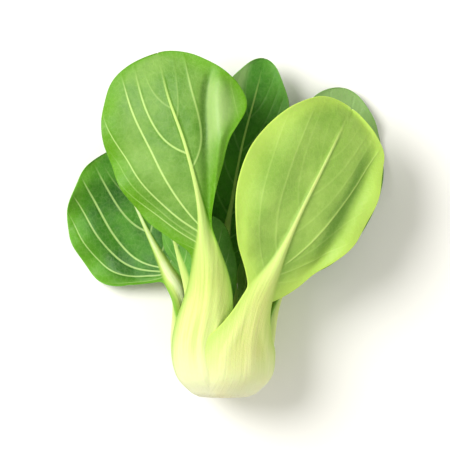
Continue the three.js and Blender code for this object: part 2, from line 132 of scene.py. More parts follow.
# Each leaf, as in the frame, in millimetres and degrees. Pairs are (right, left), seen from the back
# with the tip up:
# side, face: which way round the axis the stalk's back looks at its root, and the blade's back
# sunk: how far the root stands inside the ring
# points: the midrib's line beyond the ring
# neck: how far from the root the neck is
# shape, stalk, depth: how the stalk narrows, its half widths, and how thick its rib is
# blade, outline, cup: the blade's half widths, its outlines, and how it bends across
# tuck, melt: how far the edges lean in, all along the stalk and near the root
# wave, waves, phase: the height, number and start of the waves along the edges
# folds: lengthwise folds of the blade, as (mm from the midrib, growth along it, height, half width)
# lip: how far the edges curl towards the back
# shade: the line along which the blade's painted shade and painted light lie, as (mm from the midrib,
# growth along it)
# ridges: lengthwise ridges of the stalk, as (place across it from -1 to 1, height, half width)
# finish, slot: which of LOOKS it has, and the record's slot for it
LEAVES = {
    "leaf_top_right": dict(
        OUTER, side=62, face=72, sunk=0,
        points=[(12.5, -30, 39.5), (20, -14.5, 41), (29, 5, 42), (38, 23, 40), (46, 39, 35),
                (50, 47, 30)],
        neck=56, shape=CLASPING_STALK, stalk=(21, 22.6), depth=5,
        blade=(27.5, 30), outline=(SQUARE, BROAD), cup=(0.004, 0.008), tuck=(0, 0), melt=(0, 1.4),
        wave=(1.2, 1.4), waves=3.2, phase=0.6, folds=[(19, 0, -2.6, 4.5), (-15, 0, 1.4, 6)], lip=1.2,
        veins=TOP_RIGHT_VEINS, shade=(19, 0), finish="pale leaf", slot="outer_leaf_back",
        ridges=[(0.05, 0.5, 2.4), (-0.45, 0.35, 2), (0.5, 0.3, 2.2)]),
    "leaf_top_left": dict(
        OUTER, side=123, face=97, sunk=0.7,
        points=[(-8.5, -26, 41.5), (-8.4, -10, 46), (-11, 10, 49.5), (-16.5, 32, 50.5),
                (-23.5, 52, 47.5), (-27.6, 69, 41)],
        neck=66, stalk=(18.5, 15.5), depth=5,
        blade=(30, 32), outline=(FULL_HIGH, FULL_LOW), cup=(0.012, 0.009), tuck=(5.2, -0.5),
        wave=(1.2, 1.6), waves=3.4, phase=2.2,
        folds=[(2.8, 0.0034, -2.6, 2.8), (8.5, 0.0034, 2.6, 4.6), (-17, 0, -1, 6)], lip=0.8,
        veins=TOP_LEFT_VEINS, shade=(2.8, 0.0034), finish="green leaf", slot="outer_leaf_back",
        ridges=[(0.2, 1.2, 1.8), (-0.35, 0.6, 3.2), (0.48, 0.6, 1.6)]),
    "leaf_left": dict(
        OUTER, side=196, face=274,
        points=[(-20.3, -29, 12.5), (-25.3, -17, 8), (-32, -4, 4.7), (-39, 11, 3.9), (-48.5, 31, 6.2)],
        neck=62, shape=CLASPING_STALK, stalk=(12.5, 13), opens=EARLY_OPENING,
        blade=(30, 16), outline=(LOBED, ROUND), cup=(-0.003, -0.006), tuck=(3.4, 0),
        wave=(2, 1.4), waves=3, phase=1.1, folds=[(12, 0, 1.2, 5)], lip=-0.8, veins=LEFT_VEINS,
        finish="dark leaf"),
    "leaf_under": dict(
        OUTER, side=265, face=266,
        points=[(-2.5, -28, 2.5), (-1.5, -10, 5.5), (2, 10, 9), (6, 32, 12.5), (11.5, 53, 15),
                (15.5, 68.5, 12)],
        neck=62, stalk=(14, 14), blade=(20, 21), outline=(POINTED, POINTED), cup=(0.018, 0.018),
        tuck=(3.4, 3.4), wave=(2, 2), waves=3.4, phase=0.2, lip=-1, shade=(4, 0)),
    "leaf_right": dict(
        OUTER, side=335, face=266,
        points=[(20.5, -28, 10.5), (26, -12, 6), (33, 6, 3.3), (41, 25, 3), (45.5, 42, 4.7),
                (48, 57, 3.8)],
        neck=60, stalk=(14, 14), blade=(19, 25.5), outline=(ROUND, POINTED), cup=(-0.004, -0.002),
        tuck=(0, 3.4), wave=(1.4, 2), waves=3.2, phase=2.6, lip=-0.8, shade=(-40, 0)),
    "leaf_inner_left": dict(
        INNER, side=163, face=150, blade=(14, 15), phase=1.9,
        points=[(-16, -24, 26), (-20.5, -6, 28), (-25, 13, 30), (-29, 32, 31), (-32, 48, 30)]),
    "leaf_inner_right": dict(
        INNER, side=22, face=30, blade=(13, 13), phase=0.4,
        points=[(15, -24, 26), (20, -6, 27.5), (26, 12, 28), (32, 30, 26), (36, 43, 23)]),
    "heart_leaf_1": dict(
        HEART, side=95, face=95, neck=36, stalk=(6.5, 6.5), blade=(8, 8), wave=(0.6, 0.6), phase=0.4,
        finish="inner leaf", points=[(-2.5, -26, 30.5), (-5, -12, 32.5), (-8, 4, 34)]),
    "heart_leaf_2": dict(
        HEART, side=215, face=215, neck=34, stalk=(6, 6), blade=(7.5, 7.5), wave=(0.6, 0.6), phase=1.4,
        points=[(-8.5, -27, 15.5), (-10, -14, 16), (-12, -2, 17)]),
    "heart_leaf_3": dict(
        HEART, side=335, face=335, neck=33, stalk=(5.5, 5.5), blade=(7, 7), wave=(0.5, 0.5), phase=2.4,
        points=[(7.5, -28, 17), (9, -16, 17.5), (11, -6, 19)]),
}

# Along the blade, from 0 at its start to 1 at its tip: where the rib narrows and where it sinks in,
# where the waves begin and end, and where the folds end.
RIB_NARROWS = (0.6, 1)
RIB_SINKS = (0.75, 0.97)
WAVES_BEGIN = (0, 0.25)
WAVES_END = (0.82, 1)
FOLDS_END = (0.7, 0.95)

# Across a leaf, from 0 at the midrib to 1 at the edge.
FOLDS_STOP = (0.75, 1)
TUCK_BEGINS = 0.15
WAVE_POWER = 2.2
LIP_POWER = 5

# Along the stalk, in necks from the root.
MELTS = (0.2, 0.5)
RIDGES_BEGIN = (0.1, 0.35)
RIDGES_END = (0.75, 1.25)

# How far the waves of the left edge are ahead (radians), how far a leaf stays above the table, the
# half width that a rib is taken to have at least (mm), and the bend that counts as none.
OUT_OF_STEP = 2
OFF_TABLE = 0.18
THIN_RIB = 0.55
NO_BEND = 1e-6
SPINE_STEPS = 400
SPINE_STEP = 1e-4

# The fine mesh, by ring: mm between its rows and the columns from the midrib to the edge. Near the
# edge columns stand closer, at these shares of the width from it, to make it round (mm). Rows are
# even over most of the blade and crowd at its tip, which stays a share of a row short of a point.
MESHES = [(OUTER_RING, 0.58, 58), (INNER_RING, 0.7, 26), (HEART_RING, 0.7, 16)]
EDGE_COLUMNS = (0.03, 0.012, 0.004)
EVEN_COLUMNS_END = 1 - EDGE_COLUMNS[0] * 1.5
EDGE_ROUND = 0.5
EVEN_ROWS = 0.7
EVEN_STRETCH = 1.18
SHORT_OF_TIP = 0.35

# How close side veins come, in what room they fade, and how far away the outer ones' next is (mm).
VEIN_GAP = 0.3
CROWDED = (0.35, 1.2)
FAR = 40.0
NO_SHADE = (-50.0, 0)


def smooth(a, b, x):
    """0 before a, 1 after b, and a soft step between."""
    t = np.clip((x - a) / (b - a), 0, 1)
    return t * t * (3 - 2 * t)


def mix(a, b, t):
    """The value a share t of the way from a to b."""
    return a + (b - a) * t


def curve(a, b, slope_a, slope_b, t):
    """The smooth curve from a to b, as t goes from 0 to 1, with these slopes at its ends."""
    return ((2 * t ** 3 - 3 * t ** 2 + 1) * a + (t ** 3 - 2 * t ** 2 + t) * slope_a
            + (3 * t ** 2 - 2 * t ** 3) * b + (t ** 3 - t ** 2) * slope_b)


def follow(table, x):
    """A smooth curve through a table of (place, value), for an array of places."""
    places, values = np.array(table, float).T
    slopes = np.empty(len(places))
    slopes[1:-1] = (values[2:] - values[:-2]) / (places[2:] - places[:-2])
    slopes[0] = (values[1] - values[0]) / (places[1] - places[0])
    slopes[-1] = (values[-1] - values[-2]) / (places[-1] - places[-2])
    x = np.clip(x, places[0], places[-1])
    i = np.clip(np.searchsorted(places, x, side="right") - 1, 0, len(places) - 2)
    step = places[i + 1] - places[i]
    return curve(values[i], values[i + 1], step * slopes[i], step * slopes[i + 1],
                 (x - places[i]) / step)


def outward(degrees):
    """The direction away from the head's axis at an angle round it, 0 = +X and 90 = up."""
    angle = np.radians(degrees)
    return np.stack([np.cos(angle), np.zeros_like(angle), np.sin(angle)], -1)


def unit(v):
    """The same directions with length 1."""
    return v / np.linalg.norm(v, axis=-1, keepdims=True)


class Spine:
    """The midrib's line: out from the crown along the ring's profile, then through the points."""

    def __init__(self, leaf):
        axis = np.array([AXIS_X, 0, AXIS_Z])
        back = outward(np.float64(leaf["side"]))
        root = [axis + back * (r - leaf["sunk"]) + np.array([0, y, 0]) for y, r in leaf["ring"]]
        p = np.array(root + [np.array(q, float) for q in leaf["points"]])
        self.p = np.vstack([2 * p[0] - p[1], p, 2 * p[-1] - p[-2]])
        self.pieces = len(p) - 1
        self.times = np.linspace(0, 1, SPINE_STEPS + 1)
        steps = np.linalg.norm(np.diff(self.at_time(self.times), axis=0), axis=1)
        self.reached = np.concatenate([[0], np.cumsum(steps)])
        self.length = self.reached[-1]

    def at_time(self, t):
        """The points at these shares of the way, counted in points."""
        x = np.clip(t, 0, 1) * self.pieces
        i = np.minimum(x.astype(int), self.pieces - 1)
        a, b, c, d = (self.p[i + k] for k in range(4))
        return curve(b, c, (c - a) / 2, (d - b) / 2, (x - i)[:, None])

    def at(self, s):
        """The points and directions at these distances along the leaf."""
        t = np.interp(s, self.reached, self.times)
        before, after = np.maximum(t - SPINE_STEP, 0), np.minimum(t + SPINE_STEP, 1)
        ahead = self.at_time(after) - self.at_time(before)
        return self.at_time(t), unit(ahead)


def leaf_surface(leaf, s, across, sides):
    """The back and inner face of a leaf over a grid of rows s and columns across, with what the
    finish needs to know about each place. sides says which half each column belongs to."""
    spine = Spine(leaf)
    length = spine.length
    centre, along = spine.at(s)
    necks = s / leaf["neck"]
    opened = smooth(*leaf["opens"], necks)
    ahead = unit(mix(np.array([0, 1, 0]), along, smooth(*LEAVES_BULB, necks)[:, None]))
    back = outward(mix(leaf["side"], leaf["face"], opened))
    back = unit(back - (back * ahead).sum(-1, keepdims=True) * ahead)
    right = np.cross(ahead, back)

    pick = lambda pair: np.where(sides == 0, pair[0], pair[1])[None, :]
    row = lambda v: v[:, None]
    start = leaf["neck"] * BLADE_START
    t = np.clip((s - start) / (length - start), 0, 1)
    place = np.arccos(1 - 2 * t) / np.pi
    shape = follow(leaf["shape"], necks)
    rib = row(shape) * pick(leaf["stalk"])
    halves = np.stack([follow(leaf["outline"][k], place) * leaf["blade"][k] for k in (0, 1)])
    blade = halves[sides].T
    width = np.hypot(rib * row(1 - smooth(*RIB_NARROWS, t)), blade)
    reach = np.abs(across)[None, :] * width

    from_axis = np.hypot(centre[:, 0] - AXIS_X, centre[:, 2] - AXIS_Z)
    wrap = 1 / np.minimum(from_axis + CLEAR_OF_BULB, leaf["ring"][-1][1])
    bend = mix(row(wrap), pick(leaf["cup"]), row(opened))
    turn = bend * reach
    small = np.abs(turn) < NO_BEND
    safe = np.where(small, 1, bend)
    sideways = np.where(small, reach, np.sin(turn) / safe)
    inwards = np.where(small, 0, (1 - np.cos(turn)) / safe)
    sign = np.where(sides == 0, 1.0, -1.0)[None, :]
    normal = (back[:, None] * np.cos(turn)[..., None]
              + right[:, None] * (sign * np.sin(turn))[..., None])
    middle = (centre[:, None] + right[:, None] * (sign * sideways)[..., None]
              - back[:, None] * inwards[..., None])

    out = np.abs(across)[None, :]
    in_blade = row(smooth(*WAVES_BEGIN, t))
    wave = (pick(leaf["wave"]) * np.sin(2 * np.pi * leaf["waves"] * row(t) + leaf["phase"]
            + sides[None, :] * OUT_OF_STEP) * out ** WAVE_POWER * in_blade
            * row(1 - smooth(*WAVES_END, t)))
    x = sign * reach
    past_neck = row(np.maximum(0, s - leaf["neck"]))
    fold = sum(height * np.exp(-(((x - at - spread * past_neck ** 2) / half) ** 2))
               for at, spread, height, half in leaf["folds"])
    fold = fold * in_blade * row(1 - smooth(*FOLDS_END, t)) * (1 - smooth(*FOLDS_STOP, out))
    lip = leaf["lip"] * out ** LIP_POWER * in_blade
    melt = pick(leaf.get("melt", (0, 0))) * row(1 - smooth(*MELTS, necks))
    tuck = (pick(leaf["tuck"]) * row(1 - opened) + melt) * smooth(TUCK_BEGINS, 1, out)
    middle = middle + normal * (wave + fold + lip - tuck)[..., None]
    middle[..., 2] = np.maximum(middle[..., 2], BLADE_THICK / 2 + OFF_TABLE)

    depth = (leaf["depth"] * row(follow(RIB_DEPTH, necks) * (1 - smooth(*RIB_SINKS, t)))
             * np.maximum(0, 1 - (reach / rib) ** 2))
    on_back = row(follow(RIB_ON_BACK, necks))
    from_edge = (1 - out) * width
    edge = np.clip(from_edge / EDGE_ROUND, 0, 1)
    half = BLADE_THICK / 2 * np.sqrt(1 - (1 - edge) ** 2)
    on_stalk = row(smooth(*RIDGES_BEGIN, necks) * (1 - smooth(*RIDGES_END, necks)))
    ridge = sum(height * np.exp(-(((x - at * rib) / wide) ** 2)) for at, height, wide in leaf["ridges"])
    ridge = ridge * on_stalk
    outer = middle + normal * (half + depth * on_back + ridge)[..., None]
    inner = middle - normal * (half + depth * (1 - on_back))[..., None]
    outer[..., 2] = np.maximum(outer[..., 2], OFF_TABLE)
    inner[..., 2] = np.maximum(inner[..., 2], OFF_TABLE)
    at, spread = leaf.get("shade", NO_SHADE)
    about = dict(x=x, s=row(s) + 0 * x, t=row(t) + 0 * x, rib=reach / np.maximum(rib, THIN_RIB),
                 edge=from_edge, neck=row(necks) + 0 * x,
                 shade=x - at - spread * past_neck ** 2, ridge=ridge + 0 * x)
    veins = side_veins(leaf, row(s - leaf["neck"]), reach, sides)
    about["vein"], about["pitch"], about["show"] = veins
    return outer, inner, about


def side_veins(leaf, ahead, reach, sides):
    """The number of the side vein at each place, counted from the tip and running evenly through
    each vein's middle, the mm that one number is worth there, and how plainly the vein shows."""
    vein, pitch, show = (np.zeros(reach.shape) for _ in range(3))
    at = lambda table, k: np.take_along_axis(table, k, 1)
    for side in (0, 1):
        columns = sides == side
        begins, draws, way, plain = np.array(leaf["veins"][side]).T
        past = np.exp(-np.maximum(0, ahead - begins) / way)
        lines = draws * (1 - past) + np.minimum(0, ahead - begins) * draws / way
        for k in range(1, lines.shape[1]):
            lines[:, k] = np.maximum(lines[:, k], lines[:, k - 1] + VEIN_GAP)
        lines = np.hstack([lines[:, :1] - FAR, lines, lines[:, -1:] + FAR])
        slant = np.hypot(1, past * draws / way)
        slant = np.hstack([slant[:, :1], slant, slant[:, -1:]])
        gaps = np.diff(lines)
        before, after = np.hstack([gaps[:, :1], gaps]), np.hstack([gaps, gaps[:, -1:]])
        worth = (before + after) / 2
        room = np.minimum(before, after) / slant
        plain = np.concatenate([[0], plain, [0]])
        out = reach[:, columns]
        k = np.clip((out[:, :, None] >= lines[:, None, :]).sum(-1) - 1, 0, gaps.shape[1] - 1)
        gap = at(gaps, k)
        u = np.clip((out - at(lines, k)) / gap, 0, 1)
        number = (k + u * u * (3 - 2 * u) + u * (1 - u) ** 2 * gap / at(worth, k)
                  - u * u * (1 - u) * gap / at(worth, k + 1))
        nearest = np.rint(number).astype(int)
        vein[:, columns] = number
        pitch[:, columns] = at(worth, nearest) / at(slant, nearest)
        show[:, columns] = plain[nearest] * smooth(*CROWDED, at(room, nearest))
    return vein, pitch, show


# What the frame adds to the head's own millimetres: the crown stands where its solid does.
crown_low, crown_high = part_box("crown")
SHIFT = np.array([(crown_low[0] + crown_high[0]) / 2 - AXIS_X * MM, crown_low[1] - CUT_Y * MM,
                  (crown_low[2] + crown_high[2]) / 2 - AXIS_Z * MM])


def mesh_of(name, points, faces, values):
    """A smooth mesh object from points in mm, with a float attribute for each named value."""
    mesh = bpy.data.meshes.new(name)
    mesh.from_pydata((points * MM + SHIFT).tolist(), [], faces)
    for key, array in values.items():
        attribute = mesh.attributes.new(key, "FLOAT", "POINT")
        attribute.data.foreach_set("value", np.ascontiguousarray(array, dtype=np.float32))
    mesh.polygons.foreach_set("use_smooth", [True] * len(mesh.polygons))
    mesh.update()
    piece = bpy.data.objects.new(name, mesh)
    bpy.context.scene.collection.objects.link(piece)
    return piece


def leaf_mesh(name, leaf):
    """One leaf as a closed mesh: each row is a ring over the back and round the inner face."""
    _, step, half_columns = next(m for m in MESHES if m[0] is leaf["ring"])
    length = Spine(leaf).length
    start = leaf["neck"] * BLADE_START
    stalk_rows = max(2, int(start / step))
    blade_rows = int((length - start) / step)
    turn = np.arange(blade_rows + 1) / (blade_rows + SHORT_OF_TIP)
    # Rows stay even along the blade and crowd together only at the round tip.
    crowded = 1 - (1 - EVEN_ROWS * EVEN_STRETCH) * ((1 - turn) / (1 - EVEN_ROWS)) ** 2
    even = np.where(turn < EVEN_ROWS, turn * EVEN_STRETCH, crowded)
    s = np.concatenate([np.arange(stalk_rows) * start / stalk_rows, start + (length - start) * even])
    half = np.concatenate([np.linspace(0, EVEN_COLUMNS_END, half_columns),
                           1 - np.array(EDGE_COLUMNS), [1]])
    across = np.concatenate([-half[:0:-1], half])
    sides = (across < 0).astype(int)
    outer, inner, about = leaf_surface(leaf, s, across, sides)

    wide = len(across)
    ring = 2 * wide - 2
    join = lambda a, b: np.concatenate([a, b[:, -2:0:-1]], 1)
    points = join(outer, inner).reshape(-1, 3)
    values = {key: join(v, v).ravel() for key, v in about.items()}
    on_back = np.concatenate([np.ones(wide), np.zeros(ring - wide)])
    on_back[[0, wide - 1]] = 0.5
    values["back"] = np.tile(on_back, len(s))
    faces = []
    for i in range(len(s) - 1):
        for j in range(ring):
            k = (j + 1) % ring
            faces.append((i * ring + j, i * ring + k, (i + 1) * ring + k, (i + 1) * ring + j))
    for row, flip in ((0, True), (len(s) - 1, False)):
        for j in range(wide - 1):
            quad = [row * ring + j, row * ring + j + 1]
            quad += [row * ring + (ring - j - 1) % ring, row * ring + (ring - j) % ring]
            quad = list(dict.fromkeys(quad))
            faces.append(tuple(reversed(quad)) if flip else tuple(quad))
    return mesh_of(name, points, faces, values)


def paint(colour):
    """A colour as the screen shows it, 0 to 255, made linear for the shaders."""
    parts = [c / 255 for c in colour]
    linear = [c / 12.92 if c <= 0.04045 else ((c + 0.055) / 1.055) ** 2.4 for c in parts]
    return (*linear, 1.0)


class Nodes:
    """A node tree with short ways to add nodes and join them. A value is a number, another node's
    output or, where colours are blended, a colour as the screen shows it."""

    def __init__(self, tree, family):
        self.tree = tree
        self.family = family

    def add(self, kind, family=None, **settings):
        """A node of the tree's own family, or of another."""
        node = self.tree.nodes.new((family or self.family) + "Node" + kind)
        for key, value in settings.items():
            setattr(node, key, value)
        return node

    def shared(self, kind, **settings):
        """A node that every tree has under its shader name."""
        return self.add(kind, "Shader", **settings)

    def set(self, socket, value):
        """Links another node's output to a socket, or sets the socket's own value."""
        if isinstance(value, bpy.types.NodeSocket):
            self.tree.links.new(value, socket)
        else:
            socket.default_value = value

    def feed(self, node, **values):
        """Sets a node's inputs by name, and gives the node back."""
        for name, value in values.items():
            self.set(node.inputs[name.replace("_", " ")], value)
        return node

    def math(self, operation, *values):
        """One step of arithmetic, by the name that Blender gives it."""
        node = self.shared("Math", operation=operation)
        for socket, value in zip(node.inputs, values):
            self.set(socket, value)
        return node.outputs[0]

    def times(self, *values):
        """The product of the values."""
        product = values[0]
        for value in values[1:]:
            product = self.math("MULTIPLY", product, value)
        return product

    def one_over(self, size):
        """A pattern's scale for the size of its parts."""
        return self.math("DIVIDE", 1.0, size) if isinstance(size, bpy.types.NodeSocket) else 1 / size

    def scale(self, value, low, high, to_low=0.0, to_high=1.0):
        """Carries low..high to to_low..to_high, softly, and holds it there outside."""
        node = self.shared("MapRange", interpolation_type="SMOOTHSTEP")
        self.feed(node, Value=value, From_Min=low, From_Max=high, To_Min=to_low, To_Max=to_high)
        return node.outputs["Result"]

    def vector(self, x, y, z):
        """The three values as one vector."""
        node = self.shared("CombineXYZ")
        for socket, value in zip(node.inputs, (x, y, z)):
            self.set(socket, value)
        return node.outputs[0]

    def noise(self, where, size, detail=3.0, roughness=0.5):
        """Soft noise whose lumps are about size across, in the units of where."""
        node = self.shared("TexNoise")
        self.feed(node, Vector=where, Scale=self.one_over(size), Detail=detail, Roughness=roughness)
        return node.outputs[0]

    def blend(self, share, a, b):
        """The colour a share of the way from a to b."""
        node = self.shared("Mix", data_type="RGBA")
        self.set(node.inputs[0], share)
        for socket, colour in zip(node.inputs[6:8], (a, b)):
            self.set(socket, paint(colour) if isinstance(colour, tuple) else colour)
        return node.outputs[2]

    def value_of(self, name):
        """One of the mesh's own named values."""
        if self.family == "Geometry":
            node = self.add("InputNamedAttribute", data_type="FLOAT")
            node.inputs["Name"].default_value = name
            return node.outputs["Attribute"]
        return self.add("Attribute", attribute_name=name).outputs["Fac"]

    def vein_distance(self):
        """How many mm away the nearest side vein's middle is."""
        near = self.math("FRACT", self.math("ADD", self.value_of("vein"), 0.5))
        near = self.math("ABSOLUTE", self.math("SUBTRACT", near, 0.5))
        return self.times(near, self.value_of("pitch"))

    def given(self):
        """What the tree's group is given, by name."""
        return self.tree.nodes.new("NodeGroupInput").outputs

    def give(self, *values):
        """Sends the values out of the tree's group, in the order of its outputs."""
        for socket, value in zip(self.tree.nodes.new("NodeGroupOutput").inputs, values):
            self.set(socket, value)


def tree_with(name, kind, inputs, outputs):
    """A node group with inputs and outputs, each a dict of names and the types of their values."""
    tree = bpy.data.node_groups.new(name, kind)
    for way, sockets in (("INPUT", inputs), ("OUTPUT", outputs)):
        for label, value in sockets.items():
            tree.interface.new_socket(label, in_out=way, socket_type="NodeSocket" + value)
    return tree


def run_nodes(piece, tree, values):
    """Runs a Geometry Nodes tree on a piece and leaves the result as its plain mesh."""
    modifier = piece.modifiers.new(tree.name, "NODES")
    modifier.node_group = tree
    for item in tree.interface.items_tree:
        if item.name in values:
            modifier[item.identifier] = values[item.name]
    shown = piece.evaluated_get(bpy.context.evaluated_depsgraph_get())
    mesh = bpy.data.meshes.new_from_object(shown)
    piece.modifiers.remove(modifier)
    mesh.name = piece.name
    piece.data = mesh


def real_geometry(n, geometry, material):
    """The geometry with its copies made real, in its material."""
    real = n.feed(n.add("RealizeInstances"), Geometry=geometry).outputs[0]
    return n.feed(n.add("SetMaterial"), Geometry=real, Material=material).outputs[0]


# Where relief lies: outside the midrib and on the stalk, in the midrib's half widths, below the neck,
# and clear of the edge (mm). Fibres are long, so their noise is stretched along the leaf.
ON_BLADE = (0.9, 1.5)
ON_STALK = (1.0, 0.7)
BELOW_NECK = (1.3, 0.8)
OFF_EDGE = (0.6, 4.0)
FIBRE_WIDTH = 1.3
FIBRE_STRETCH = 0.03


def vein_tree():
    """Raises the side veins and the leaf between them on the back, sinks them on the inner face,
    and gives the stalk its lengthwise fibres."""
    tree = tree_with("raise the veins", "GeometryNodeTree",
                     {"Geometry": "Geometry", "Vein Height": "Float", "Vein Width": "Float",
                      "Pucker Height": "Float", "Pucker Size": "Float", "Fibre Height": "Float",
                      "Seed": "Float", "Material": "Material"}, {"Geometry": "Geometry"})
    n = Nodes(tree, "Geometry")
    given = n.given()
    x, s = n.value_of("x"), n.value_of("s")
    on_blade = n.scale(n.value_of("rib"), *ON_BLADE)
    vein = n.scale(n.vein_distance(), given["Vein Width"], 0.0)
    vein = n.times(vein, n.value_of("show"), on_blade)
    lumps = n.noise(n.vector(x, s, given["Seed"]), given["Pucker Size"])
    lumps = n.times(n.math("SUBTRACT", lumps, 0.5), given["Pucker Height"])
    lumps = n.times(lumps, n.math("SUBTRACT", 1.0, vein))
    rise = n.math("ADD", n.times(vein, given["Vein Height"]), n.times(lumps, on_blade))
    back_or_face = n.math("SUBTRACT", n.times(n.value_of("back"), 2.0), 1.0)
    rise = n.times(rise, n.scale(n.value_of("edge"), *OFF_EDGE), back_or_face)
    fibres = n.noise(n.vector(x, n.times(s, FIBRE_STRETCH), given["Seed"]), FIBRE_WIDTH)
    fibres = n.times(n.math("SUBTRACT", fibres, 0.5), given["Fibre Height"])
    on_stalk = n.times(n.scale(n.value_of("rib"), *ON_STALK), n.scale(n.value_of("neck"), *BELOW_NECK))
    rise = n.math("ADD", rise, n.times(fibres, on_stalk))
    offset = n.shared("VectorMath", operation="SCALE")
    n.feed(offset, Vector=n.add("InputNormal").outputs[0], Scale=rise)
    moved = n.feed(n.add("SetPosition"), Geometry=given["Geometry"], Offset=offset.outputs[0])
    n.give(real_geometry(n, moved.outputs[0], given["Material"]))
    return tree


# The vessels' spiral: its turn from one to the next (radians) and how they crowd outwards, the range
# of their sizes, and how flat they are.
SPIRAL_TURN = 2.39996
SPIRAL_POWER = 0.42
VESSEL_SIZES = (0.6, 1.5)
VESSEL_FLATNESS = 0.45


def bundle_tree():
    """Sets the cut ends of the stem's vessels into the cut face, in a spiral from its middle, as
    small raised dots."""
    tree = tree_with("vessels in the cut", "GeometryNodeTree",
                     {"Geometry": "Geometry", "Count": "Int", "Middle": "Vector", "Spread": "Float",
                      "Dot Size": "Float", "Seed": "Int", "Material": "Material"},
                     {"Geometry": "Geometry"})
    n = Nodes(tree, "Geometry")
    given = n.given()
    index = n.add("InputIndex").outputs[0]
    angle = n.times(index, SPIRAL_TURN)
    share = n.math("DIVIDE", n.math("ADD", index, 0.5), given["Count"])
    far = n.times(n.math("POWER", share, SPIRAL_POWER), given["Spread"])
    place = n.vector(n.times(far, n.math("COSINE", angle)), 0.0, n.times(far, n.math("SINE", angle)))
    middle = n.shared("VectorMath", operation="ADD")
    n.set(middle.inputs[0], place)
    n.set(middle.inputs[1], given["Middle"])
    points = n.feed(n.add("Points"), Count=given["Count"], Position=middle.outputs[0])
    dot = n.feed(n.add("MeshIcoSphere"), Radius=given["Dot Size"], Subdivisions=2)
    size = n.add("RandomValue", "Function", data_type="FLOAT")
    n.set(size.inputs[2], VESSEL_SIZES[0])
    n.set(size.inputs[3], VESSEL_SIZES[1])
    n.feed(size, Seed=given["Seed"])
    flat = n.vector(size.outputs[1], VESSEL_FLATNESS, size.outputs[1])
    copies = n.feed(n.add("InstanceOnPoints"), Points=points.outputs[0],
                    Instance=dot.outputs["Mesh"], Scale=flat)
    both = n.add("JoinGeometry")
    n.set(both.inputs[0], real_geometry(n, copies.outputs[0], given["Material"]))
    n.set(both.inputs[0], given["Geometry"])
    n.give(both.outputs[0])
    return tree


def group_lines():
    """Where a leaf's midrib, its side veins and the fine net between them run."""
    tree = tree_with("leaf lines", "ShaderNodeTree", {"Vein Width": "Float", "Net Size": "Float"},
                     {"Midrib": "Float", "Veins": "Float", "Net": "Float"})
    n = Nodes(tree, "Shader")
    given = n.given()
    edge, along = n.value_of("edge"), n.value_of("t")
    narrow = n.scale(n.value_of("neck"), 1.0, 1.5, 1.0, 0.55)
    midrib = n.scale(n.math("DIVIDE", n.value_of("rib"), narrow), 1.2, 0.72)
    midrib = n.times(midrib, n.scale(along, 0.97, 0.7))
    width = n.times(given["Vein Width"], n.scale(edge, 1.0, 16.0, 0.5, 1.0))
    veins = n.scale(n.vein_distance(), width, n.times(width, 0.25))
    veins = n.times(veins, n.scale(edge, 0.4, 5.0, 0.15, 1.0), n.value_of("show"),
                    n.scale(along, 0.98, 0.8))
    cells = n.shared("TexVoronoi", feature="DISTANCE_TO_EDGE")
    where = n.vector(n.value_of("x"), n.times(n.value_of("s"), 0.8), 0.0)
    n.feed(cells, Vector=where, Scale=n.one_over(given["Net Size"]))
    net = n.scale(cells.outputs["Distance"], 0.09, 0.01)
    n.give(midrib, veins, net)


def group_fibres():
    """Fine lines that run the length of a stalk."""
    tree = tree_with("fibres", "ShaderNodeTree", {"Spacing": "Float"}, {"Fibres": "Float"})
    n = Nodes(tree, "Shader")
    where = n.vector(n.value_of("x"), n.times(n.value_of("s"), 0.04), 0.0)
    n.give(n.scale(n.noise(where, n.given()["Spacing"], 4.0, 0.6), 0.3, 0.7))


def group_mottle():
    """Soft uneven patches, as in anything that grew."""
    tree = tree_with("mottle", "ShaderNodeTree",
                     {"Size": "Float", "Low": "Float", "High": "Float"}, {"Mottle": "Float"})
    n = Nodes(tree, "Shader")
    given = n.given()
    lumps = n.noise(n.add("TexCoord").outputs["Object"], given["Size"], 4.0)
    n.give(n.scale(lumps, given["Low"], given["High"]))


def place_group(n, name, **values):
    """A shared effect placed in a material with its own values."""
    return n.feed(n.add("Group", node_tree=bpy.data.node_groups[name]), **values).outputs


def mottle_of(n, size, low=0.3, high=0.7):
    """The shared mottle, with patches of one size in metres."""
    return place_group(n, "mottle", Size=size, Low=low, High=high)["Mottle"]


# How light goes into moist leaf (metres), and how little its skin shines.
SCATTER = (0.6, 1.0, 0.25)
SCATTER_DEPTH = 0.0015
SHINE = 0.25


def start_material(name, roughness, subsurface):
    """A material with a Principled shader, whose plain values are set on it."""
    material = bpy.data.materials.new(name)
    material.use_nodes = True
    shader = material.node_tree.nodes["Principled BSDF"]
    n = Nodes(material.node_tree, "Shader")
    n.feed(shader, Roughness=roughness, Subsurface_Weight=subsurface, Subsurface_Radius=SCATTER,
           Subsurface_Scale=SCATTER_DEPTH, Specular_IOR_Level=SHINE)
    return material, n, shader


def add_bump(n, shader, height, strength, depth):
    """Fine relief of the surface, as deep as depth in metres."""
    bump = n.feed(n.add("Bump"), Strength=strength, Distance=depth, Height=height)
    n.feed(shader, Normal=bump.outputs[0])


# The stalk's colours from its root to past its neck, as (place, colour), and its root's specks.
STALK_COLOURS = [(0.0, (235, 237, 204)), (0.2, (232, 237, 180)), (0.5, (222, 234, 148)),
                 (0.8, (212, 228, 128)), (1.15, (204, 228, 132)), (2.0, (190, 220, 124))]
STALK_SPAN = 2.0
SPECK_COLOUR = (186, 164, 108)

# Sizes of patterns, in metres where they fill space and in mm where they follow the leaf.
MOTTLE_SIZE = 0.016
GRAIN_SIZE = 0.0016
SPECK_SIZE = 0.0009
FIBRE_SPACING = 0.9
VEIN_WIDTH = 0.62
NET_SIZE = 1.7

# How far in the blade takes its rim's colour, faintly as painted light through its thin edges and then
# plainly (mm from the edge).
GLOW = (12.0, 0.5)
RIM = (0.9, 0.1)


